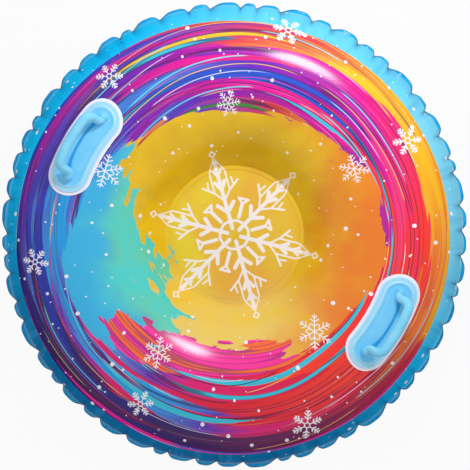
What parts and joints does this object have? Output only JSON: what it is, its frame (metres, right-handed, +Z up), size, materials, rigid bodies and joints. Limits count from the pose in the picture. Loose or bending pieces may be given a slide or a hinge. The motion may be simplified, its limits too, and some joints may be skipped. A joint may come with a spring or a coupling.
{
  "type": "inflatable snow tube",
  "caption": "Round inflatable sled tube: welded vinyl skins with a puckered seam, a sunken flat seat floor, moulded carrying handles on the crest and a soft press-in inflation valve.",
  "frame": {"origin": "on the ground under the middle of the tube, at the bottom centre of its box", "axes": "+Z up, +Y the way the rider faces, +X towards the right handle; the handles lie at -X and +X and the valve at -Y"},
  "size_m": [0.9435, 0.9448, 0.2916],
  "materials": {
    "top_print": "printed soft vinyl sheet, glossy",
    "bottom_vinyl": "plain sky-blue vinyl sheet, satin gloss",
    "floor_vinyl": "printed double vinyl sheet, satin gloss",
    "seam_vinyl": "welded vinyl edge, cyan, glossy",
    "patch_vinyl": "pale lilac white vinyl sheet",
    "pad_vinyl": "soft moulded vinyl, light sky blue, satin",
    "grip_vinyl": "soft moulded vinyl, light sky blue, satin",
    "valve_vinyl": "soft moulded vinyl, milky",
    "plug_vinyl": "soft moulded vinyl, blue"
  },
  "bodies": {
    "tube": {"top_skin": "top_print", "bottom_skin": "bottom_vinyl", "seat_floor": "floor_vinyl", "outer_seam": "seam_vinyl", "left_handle_patch": "patch_vinyl", "right_handle_patch": "patch_vinyl", "left_handle_pad": "pad_vinyl", "right_handle_pad": "pad_vinyl", "valve_flange": "valve_vinyl"},
    "left_grip": {"left_grip": "grip_vinyl"},
    "right_grip": {"right_grip": "grip_vinyl"},
    "valve_stem": {"valve_stem": "valve_vinyl"},
    "valve_plug": {"valve_plug": "plug_vinyl", "valve_strap": "plug_vinyl"},
    "valve_flap": {"valve_flap": "valve_vinyl"}
  },
  "joints": [
    {"name": "left_grip_lean", "type": "hinge", "parent": "tube", "child": "left_grip", "pos_m": [-0.323, 0, 0.25506], "axis": [0, -1, 0], "range_deg": [-75, 28], "stiffness_Nm_per_rad": 0.5},
    {"name": "right_grip_lean", "type": "hinge", "parent": "tube", "child": "right_grip", "pos_m": [0.323, 0, 0.25506], "axis": [0, 1, 0], "range_deg": [-75, 28], "stiffness_Nm_per_rad": 0.5},
    {"name": "valve_stem_press", "type": "slide", "parent": "tube", "child": "valve_stem", "axis": [0, -0.6913, -0.7226], "range_m": [0, 0.009]},
    {"name": "valve_plug_hinge", "type": "hinge", "parent": "valve_stem", "child": "valve_plug", "pos_m": [0, -0.4364, 0.0408], "axis": [-1, 0, 0], "range_deg": [0, 150]},
    {"name": "valve_flap_hinge", "type": "hinge", "parent": "valve_stem", "child": "valve_flap", "pos_m": [0, -0.4144, 0.0539], "axis": [1, 0, 0], "range_deg": [0, 60], "stiffness_Nm_per_rad": 0.0005}
  ]
}
